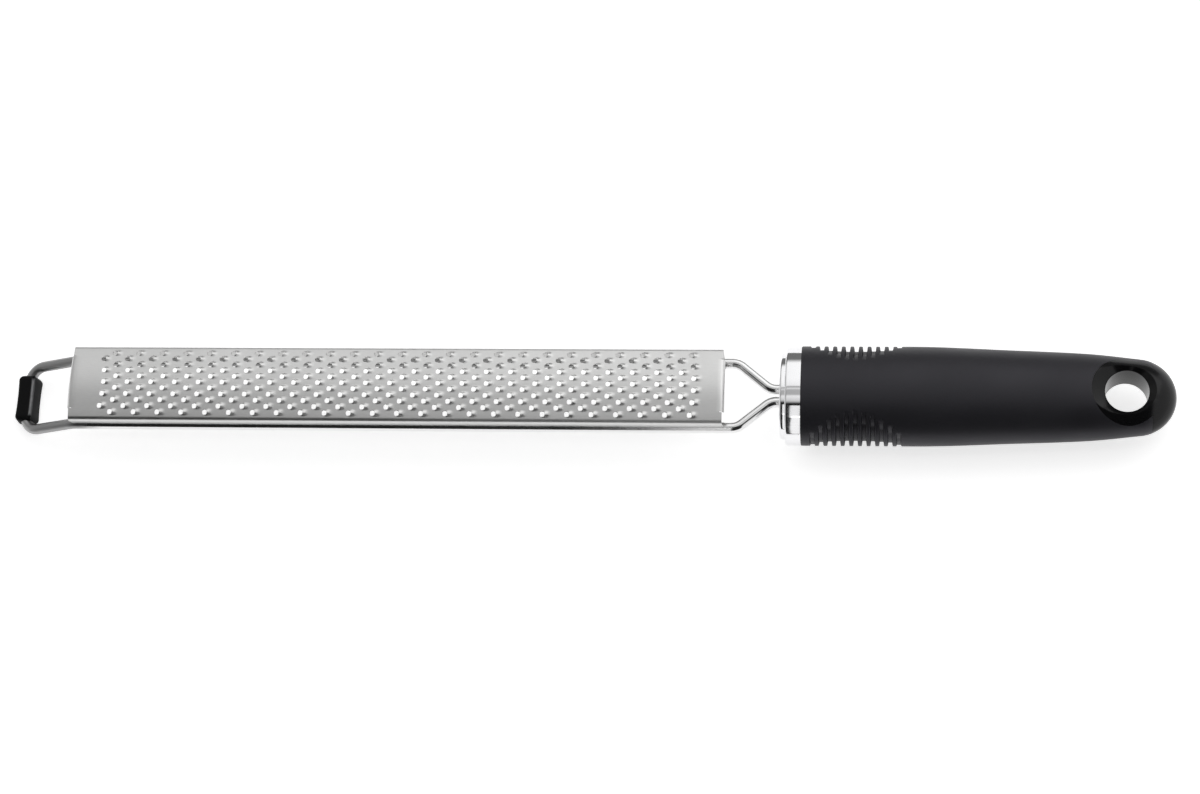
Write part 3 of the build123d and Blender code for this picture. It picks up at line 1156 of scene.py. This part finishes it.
def bare_end_prism(name, growth):
    """The plan outline of what the soft sleeve leaves bare, as a tall prism."""
    radius = dish_radius + growth
    line_x = cap_x - growth
    start = math.acos((line_x - hanging_x) / radius)
    angles = spread(start, 2 * math.pi - start, dish_steps)
    corners = [(hanging_x + radius * math.cos(a), radius * math.sin(a)) for a in angles]
    far_x, far_y = tail_x + overrun, handle_half_width + overrun
    corners += [(line_x, -far_y), (far_x, -far_y), (far_x, far_y), (line_x, far_y)]
    low = [(x, y, -overrun) for x, y in corners]
    high = [(x, y, 2 * handle_axis_z + overrun) for x, y in corners]
    return new_piece(name, low + high, ring_faces(2, len(corners)))


print("hanging hole", round(2 * hole_radius / mm, 1), "mm, dish", round(2 * dish_radius / mm, 1))

# %% The cutter for the hanging hole
hole_sides = 128
rim_rounding = 0.5 * mm
rim_steps = 6


def hole_cutter():
    """The hanging hole with its dish above and below, with the rims rounded."""
    mouth = dish_radius + overrun
    lean = math.pi / 2 - dish_angle
    rim_height = hole_half_length - rim_rounding * math.tan(lean / 2)
    side = []
    for angle in spread(0, lean, rim_steps):
        inset = rim_rounding * (1 - math.cos(angle))
        side.append((hole_radius + inset, rim_height + rim_rounding * math.sin(angle)))
    last_radius, last_height = side[-1]
    side.append((mouth, last_height + (mouth - last_radius) * math.tan(dish_angle)))
    profile = [(r, -h) for r, h in reversed(side)] + side
    points = []
    for radius, height in profile:
        for k in range(hole_sides):
            angle = 2 * math.pi * k / hole_sides
            x = hanging_x + radius * math.cos(angle)
            points.append((x, radius * math.sin(angle), handle_axis_z + height))
    return new_piece("hole_cutter", points, ring_faces(len(profile), hole_sides))


# %% The tail of the core
skin_gap = 0.04 * mm
tail_steps = 24
tail_angles = spread(0, math.pi / 2 - tail_slope, tail_steps)
tail_places = [tail_centre_x + tail_radius * math.cos(a) for a in reversed(tail_angles)]
core_places = [*spread(core_end_x - overrun, tail_start_x, tail_steps), *tail_places[1:]]
core_profile = [(core_end_x - overrun, 0), *[(x, half_width(x)[0]) for x in core_places]]
core = turned_oval("handle_core_tail", core_profile)
carve(core, bare_end_prism("bare_end", 0), "INTERSECT")
carve(core, hole_cutter())
shade(core, sharp_angle=30.0)
body_normals(core)
mount_piece(core, "handle_core", core_plastic)

# %% [markdown]
# ## Soft sleeve
# The sleeve is moulded over the core. Near the ferrule each side has a lens-shaped patch of fins.
# They repeat at an even pitch, so a geometry tree presses the grooves into the smooth sleeve: it
# measures how far each point is from its nearest groove and moves it towards the axis.

# %% Fin sizes
groove_count = 11
groove_pitch = 2.54 * mm
groove_width = 1.3 * mm
groove_wall_share = 0.14
groove_depth = 1.6 * mm
groove_end_depth = 0.6 * mm
groove_height = 18.2 * mm
groove_fade = 2.6 * mm
first_groove_x = handle_front_x + 3.4 * mm
bore_reach = 8.0 * mm
print("fins reach", round(groove_pitch * groove_count / mm, 1), "mm along the sleeve")

# %% The tree that presses the grooves


def groove_depths(tree, given, x, rise):
    """How far each point is pressed in: less at the ends of the patch and at each groove's end."""
    pitch, width = given["Pitch"], given["Groove width"]
    last = calc(tree, "SUBTRACT", given["Grooves"], 1.0)
    along = calc(tree, "DIVIDE", calc(tree, "SUBTRACT", x, given["First groove"]), pitch)
    number = calc(tree, "MAXIMUM", calc(tree, "ROUND", along), 0.0)
    number = calc(tree, "MINIMUM", number, last)
    off = calc(tree, "ABSOLUTE", calc(tree, "SUBTRACT", along, number))
    off = calc(tree, "MULTIPLY", off, pitch)
    inside = calc(tree, "SUBTRACT", calc(tree, "MULTIPLY", width, 0.5), off)
    wall = calc(tree, "MULTIPLY", width, groove_wall_share)
    inside = clamped(tree, calc(tree, "ADD", calc(tree, "DIVIDE", inside, wall), 0.5))
    middle = calc(tree, "MULTIPLY", last, 0.5)
    half_patch = calc(tree, "ADD", middle, 1.0)
    off_middle = calc(tree, "DIVIDE", calc(tree, "SUBTRACT", number, middle), half_patch)
    off_middle = calc(tree, "POWER", calc(tree, "ABSOLUTE", off_middle), 2.0)
    bulge = calc(tree, "SUBTRACT", 1.0, off_middle)
    extra = calc(tree, "SUBTRACT", given["Depth"], given["End depth"])
    depth = calc(tree, "ADD", given["End depth"], calc(tree, "MULTIPLY", extra, bulge))
    reach = calc(tree, "MULTIPLY", given["Patch height"], 0.5)
    reach = calc(tree, "MULTIPLY", reach, calc(tree, "SQRT", bulge))
    room = calc(tree, "DIVIDE", calc(tree, "SUBTRACT", reach, rise), given["Fade"])
    pressed = calc(tree, "MULTIPLY", inside, clamped(tree, room))
    return calc(tree, "MULTIPLY", pressed, depth)


def fin_tree():
    """Presses a lens-shaped patch of grooves into both sides of the sleeve."""
    tree, given, result = new_group(
        "fin grooves",
        "GeometryNodeTree",
        {
            "Sleeve": ("NodeSocketGeometry", None),
            "Grooves": ("NodeSocketInt", groove_count),
            "Pitch": ("NodeSocketFloat", groove_pitch),
            "Groove width": ("NodeSocketFloat", groove_width),
            "Depth": ("NodeSocketFloat", groove_depth),
            "End depth": ("NodeSocketFloat", groove_end_depth),
            "Patch height": ("NodeSocketFloat", groove_height),
            "Fade": ("NodeSocketFloat", groove_fade),
            "First groove": ("NodeSocketFloat", first_groove_x),
            "Axis height": ("NodeSocketFloat", handle_axis_z),
            "Body half width": ("NodeSocketFloat", handle_half_width),
            "Material": ("NodeSocketMaterial", None),
        },
        {"Geometry": "NodeSocketGeometry"},
    )
    x, y, z = point_place(tree)
    height = calc(tree, "SUBTRACT", z, given["Axis height"])
    rise = calc(tree, "ABSOLUTE", height)
    pressed = groove_depths(tree, given, x, rise)
    shrink = calc(tree, "DIVIDE", pressed, given["Body half width"])
    shrink = calc(tree, "SUBTRACT", 1.0, shrink)
    moved = add_node(tree, "ShaderNodeCombineXYZ")
    lowered = calc(tree, "MULTIPLY", height, shrink)
    feed(tree, moved.inputs["X"], x)
    feed(tree, moved.inputs["Y"], calc(tree, "MULTIPLY", y, shrink))
    feed(tree, moved.inputs["Z"], calc(tree, "ADD", lowered, given["Axis height"]))
    out = calc(tree, "ADD", calc(tree, "ABSOLUTE", y), rise)
    press = add_node(tree, "GeometryNodeSetPosition")
    feed(tree, press.inputs["Geometry"], given["Sleeve"])
    feed(tree, press.inputs["Selection"], calc(tree, "GREATER_THAN", out, bore_reach))
    feed(tree, press.inputs["Position"], moved.outputs[0])
    feed(tree, result["Geometry"], painted(tree, press.outputs[0], given["Material"]))
    return tree


# %% Sleeve
sleeve_rounding = 0.25 * mm
sleeve_rounding_steps = 4
steps_per_groove = 14
body_steps = 60
fin_start_x = first_groove_x - groove_pitch
fin_end_x = first_groove_x + groove_count * groove_pitch
fin_places = spread(fin_start_x, fin_end_x, (groove_count + 1) * steps_per_groove)
fin_places = [x for x in fin_places if x > handle_front_x + 2 * sleeve_rounding]
body_places = spread(fin_end_x, cap_x, body_steps)[1:]
sleeve_profile = [
    (handle_front_x, core_half_width),
    *round_rim(handle_front_x, handle_half_width, sleeve_rounding, sleeve_rounding_steps),
    *[(x, half_width(x)[0]) for x in fin_places + body_places],
    (cap_x, 0),
    (core_end_x, 0),
    (core_end_x, core_half_width),
]
sleeve = turned_oval("soft_grip_sleeve", sleeve_profile, fine_sides)
use_tree(sleeve, fin_tree(), {"Material": grip_rubber})
settle(sleeve)
carve(sleeve, bare_end_prism("bare_end", skin_gap))
shade(sleeve, sharp_angle=30.0)
body_normals(sleeve)
mount_piece(sleeve, "grip_sleeve", grip_rubber)

# %% [markdown]
# ## Rest pad
# The pad is a short sleeve of black rubber, moulded round the front bar. Its top is a broad flat face
# with a raised lip along the side that points to the blade, and its two ends bulge into soft lobes
# where the rubber flows round the bends of the rod. The section is drawn once and carried across the
# tool, and every station along the way has its own small change of size.

# %% Pad sizes
pad_low, pad_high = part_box("rest_pad")
pad_middle = (pad_low + pad_high) / 2
pad_size = pad_high - pad_low
pad_corner = 1.1 * mm
pad_taper = 1.2 * mm
lip_width = 0.9 * mm
lip_drop = 0.35 * mm
lip_foot_share = 0.3
lip_edge_share = 0.1
lip_lean = 10
end_rounding = 1.5 * mm
waist_share = 0.05
print("pad", [round(length / mm, 2) for length in pad_size])

# %% The pad's section and its stations


def pad_section(steps=5):
    """Points of the pad's section as x and z from its middle: a tapered block with a lip on top."""
    half_x, half_z = pad_size.x / 2, pad_size.z / 2
    top, top_x = half_z - lip_drop, half_x - pad_taper
    lip_x, lip_corner = top_x - lip_width, pad_corner / 2
    return [
        *arc(-half_x + pad_corner, top - pad_corner, pad_corner, 180, 90, steps),
        (lip_x - 2 * lip_drop, top),
        (lip_x - lip_drop, top + lip_drop * lip_foot_share),
        (lip_x, half_z - lip_drop * lip_edge_share),
        *arc(top_x - lip_corner, half_z - lip_corner, lip_corner, 90, lip_lean, steps),
        *arc(half_x - pad_corner, -half_z + pad_corner, pad_corner, lip_lean, -90, steps),
        *arc(-half_x + pad_corner, -half_z + pad_corner, pad_corner, -90, -180, steps),
    ]


def pad_stations(count=12, steps=6):
    """Places across the tool with the section's share of its full size there."""
    straight = pad_size.y / 2 - end_rounding
    stations = []
    for y in spread(-straight, straight, count):
        stations.append((y, 1 - waist_share * (1 - (y / straight) ** 2)))
    for k in range(1, steps + 1):
        angle = math.radians(90 * k / steps)
        reach = straight + end_rounding * math.sin(angle)
        inset = end_rounding * (1 - math.cos(angle))
        share = 1 - inset / (pad_size.z / 2)
        stations = [(-reach, share), *stations, (reach, share)]
    return stations


# %% [markdown]
# The raised lip shows as a light line: a painted highlight, a paler grey mixed into the rubber's
# colour. A mask finds the lip: it fades out across the line, towards its two ends and downwards.
# The handling marks break it up, so that the line is not even.

# %% The painted highlight on the lip
highlight_width_share = 0.6
highlight_length_share = 0.42
highlight_marks = 700.0
highlight_lowest = 0.7
# Painted highlight: the paler grey of the light line along the lip.
lip_highlight_grey = (0.42, 0.42, 0.43, 1)


def paint_lip_highlight(material, lip_x):
    """Paints a highlight along the raised lip, as a paler grey in the rubber's colour."""
    tree = material.node_tree
    x, y, z = surface_place(tree)
    off_line = calc(tree, "ABSOLUTE", calc(tree, "SUBTRACT", x, lip_x))
    on_line = calc(tree, "DIVIDE", off_line, lip_width * highlight_width_share)
    on_line = calc(tree, "SUBTRACT", 1.0, on_line)
    inside = calc(tree, "SUBTRACT", pad_size.y * highlight_length_share, calc(tree, "ABSOLUTE", y))
    inside = calc(tree, "DIVIDE", inside, end_rounding)
    high = calc(tree, "SUBTRACT", z, pad_high.z - pad_corner)
    high = calc(tree, "DIVIDE", high, pad_corner)
    amount = calc(tree, "MINIMUM", calc(tree, "MINIMUM", on_line, inside), high)
    amount = calc(tree, "MAXIMUM", amount, 0.0)
    marks = add_node(tree, "ShaderNodeGroup", node_tree=handling_marks)
    marks.inputs["Marks per metre"].default_value = highlight_marks
    marks.inputs["Lowest"].default_value = highlight_lowest
    share = calc(tree, "MULTIPLY", amount, marks.outputs["Value"])
    mix_colour(tree, tree.nodes["Principled BSDF"], share, lip_highlight_grey)


# Paints the highlight along the lip into the pad's colour.
paint_lip_highlight(pad_rubber, pad_middle.x + pad_size.x / 2 - pad_taper - lip_width / 2)
print("nodes in the pad's material:", len(pad_rubber.node_tree.nodes))

# %% Rest pad
section = pad_section()
stations = pad_stations()
pad_points = [
    (pad_middle.x + x * share, pad_middle.y + y, pad_middle.z + z * share)
    for y, share in stations
    for x, z in section
]
pad = new_piece("rest_pad_rubber", pad_points, ring_faces(len(stations), len(section)))
shade(pad, sharp_angle=50.0)
mount_piece(pad, "rest_pad", pad_rubber)

# %% [markdown]
# ## Studio
# The photograph is a cut-out on white, with soft light from all round. The floor and the world show
# as white to the camera and in reflections, through Light Path, and the lamps stay plain. The floor
# is a real surface as well, so it keeps the tool's soft shadow. It works from one side only: what
# looks up from below it sees a transparent face, by Backfacing, and so the underside of the tool can
# be looked at too. The sizes of the studio are in metres.

# %% Floor
floor_size = 4.0
floor_glow = 0.71
floor_grey = (0.8, 0.8, 0.8, 1)
floor_rough = 0.9
floor_drop = 0.05 * mm
plain_white = (1, 1, 1, 1)


def seen_or_mirrored(tree):
    """1 for the camera and for reflections, 0 for the light that falls on things."""
    ray = add_node(tree, "ShaderNodeLightPath")
    seen = calc(tree, "MAXIMUM", ray.outputs["Is Camera Ray"], ray.outputs["Is Glossy Ray"])
    return calc(tree, "MAXIMUM", seen, ray.outputs["Is Transmission Ray"])


def floor_material():
    """A pale matt floor with a white glow, which is see-through from below."""
    material = bpy.data.materials.new("white floor")
    material.use_nodes = True
    tree = material.node_tree
    shader = tree.nodes["Principled BSDF"]
    shader.inputs["Base Color"].default_value = floor_grey
    shader.inputs["Roughness"].default_value = floor_rough
    shader.inputs["Specular IOR Level"].default_value = 0.0
    glow = add_node(tree, "ShaderNodeEmission")
    glow.inputs["Color"].default_value = plain_white
    shown = calc(tree, "MULTIPLY", seen_or_mirrored(tree), floor_glow)
    feed(tree, glow.inputs["Strength"], shown)
    both = add_node(tree, "ShaderNodeAddShader")
    feed(tree, both.inputs[0], shader.outputs[0])
    feed(tree, both.inputs[1], glow.outputs[0])
    from_below = add_node(tree, "ShaderNodeNewGeometry").outputs["Backfacing"]
    one_way = add_node(tree, "ShaderNodeMixShader")
    feed(tree, one_way.inputs[0], from_below)
    feed(tree, one_way.inputs[1], both.outputs[0])
    feed(tree, one_way.inputs[2], add_node(tree, "ShaderNodeBsdfTransparent").outputs[0])
    feed(tree, tree.nodes["Material Output"].inputs["Surface"], one_way.outputs[0])
    return material


half = floor_size / 2
floor_points = [(-half, -half, 0), (half, -half, 0), (half, half, 0), (-half, half, 0)]
floor = new_piece("floor", floor_points, [(0, 1, 2, 3)])
floor.location.z = -floor_drop
floor.data.materials.append(floor_material())
print("floor", floor_size, "by", floor_size, "metres")

# %% [markdown]
# ## Light tent
# Bright metal looks like what stands round it. The chrome and the rods in the photograph show a white
# tent with one dark side, the one that the camera stands on. So a long half cylinder hangs over the
# tool, and it is hidden from the camera alone. Each of its panels is a stop of a colour ramp: an
# angle over the tool, as a share of the half circle from the near floor to the far floor, and a
# brightness. Far out to the left and right the dark side glows too, which lights the blade when the
# tool is seen from its end.

# %% Light tent
tent_radius = 1.8
tent_reach = (-5.0, 2.2)
tent_panels = [
    (0.0, 0.015),
    (0.43, 0.015),
    (0.455, 0.6),
    (0.5, 0.85),
    (0.515, 0.42),
    (0.555, 0.42),
    (0.57, 0.8),
    (0.583, 0.25),
    (0.595, 0.9),
    (0.66, 1.0),
    (0.83, 1.0),
    (0.88, 0.16),
    (1.0, 0.16),
]
tent_level = 1.2
tent_lean = 0.75
flank_start = 0.61
flank_fade = 0.05
flank_glow = 0.6
tent_steps = 48


def tent_material():
    """A glow that follows the angle over the tool, from the near floor (0) to the far floor (1)."""
    material = bpy.data.materials.new("tent cloth")
    material.use_nodes = True
    tree = material.node_tree
    tree.nodes.remove(tree.nodes["Principled BSDF"])
    way = add_node(tree, "ShaderNodeVectorMath", operation="NORMALIZE")
    split = add_node(tree, "ShaderNodeSeparateXYZ")
    feed(tree, way.inputs[0], add_node(tree, "ShaderNodeTexCoord").outputs["Object"])
    feed(tree, split.inputs[0], way.outputs[0])
    x, y, z = split.outputs
    over = calc(tree, "ARCTAN2", z, calc(tree, "MULTIPLY", y, -1.0))
    cloth = add_node(tree, "ShaderNodeValToRGB")
    feed(tree, cloth.inputs["Fac"], calc(tree, "DIVIDE", over, math.pi))
    panels = cloth.color_ramp.elements
    for k, (share, strength) in enumerate(tent_panels):
        panel = panels[k] if k < len(panels) else panels.new(share)
        panel.position = share
        panel.color = (strength, strength, strength, 1)
    beyond = calc(tree, "SUBTRACT", calc(tree, "ABSOLUTE", x), flank_start)
    flank = calc(tree, "MINIMUM", calc(tree, "DIVIDE", beyond, flank_fade), 1.0)
    flank = calc(tree, "MULTIPLY", flank, flank_glow)
    panel_glow = calc(tree, "MAXIMUM", cloth.outputs["Color"], flank)
    lean = calc(tree, "MULTIPLY_ADD", x, tent_lean, tent_level)
    glow = add_node(tree, "ShaderNodeEmission")
    feed(tree, glow.inputs["Strength"], calc(tree, "MULTIPLY", panel_glow, lean))
    feed(tree, tree.nodes["Material Output"].inputs["Surface"], glow.outputs[0])
    return material


tent_angles = spread(0, math.pi, tent_steps)
tent_points = [
    (x, -tent_radius * math.cos(angle), tent_radius * math.sin(angle))
    for x in tent_reach
    for angle in tent_angles
]
tent_count = len(tent_angles)
tent_faces = [(k, k + 1, tent_count + k + 1, tent_count + k) for k in range(tent_steps)]
tent = new_piece("light_tent", tent_points, tent_faces)
tent.data.materials.append(tent_material())
tent.visible_camera = False
print("panels in the tent:", len(tent_panels))

# %% World
room_light = 0.4
world = bpy.data.worlds.new("studio")
world.use_nodes = True
bpy.context.scene.world = world
background = world.node_tree.nodes["Background"]
background.inputs["Color"].default_value = plain_white
shown = calc(world.node_tree, "MAXIMUM", seen_or_mirrored(world.node_tree), room_light)
feed(world.node_tree, background.inputs["Strength"], shown)
print("room light", room_light)

# %% [markdown]
# ## Lamps
# In the photograph the lower half of the ferrule is bright, while the rods beside it mirror the dark
# side of the tent. Two narrow upright strips do that, one above the other. They stand in the dark
# side straight across from the tool's middle, where the ferrule alone mirrors them.

# %% Lamps
strip_x = -0.01
strip_width = 0.065


def soft_lamp(name, place, height, radiance):
    """A narrow rectangular lamp that faces the middle of the tool."""
    data = bpy.data.lights.new(name, "AREA")
    data.shape = "RECTANGLE"
    data.size = strip_width
    data.size_y = height
    data.energy = radiance * math.pi * strip_width * height
    lamp = bpy.data.objects.new(name, data)
    lamp.location = place
    lamp.rotation_euler = (-Vector(place)).to_track_quat("-Z", "Y").to_euler()
    bpy.context.collection.objects.link(lamp)
    print(f"{name}: {data.energy:.3f} watts")


soft_lamp("low_strip", (strip_x, -0.88, 0.46), height=0.96, radiance=1.1)
soft_lamp("high_strip", (strip_x, -0.47, 0.88), height=0.42, radiance=1.0)
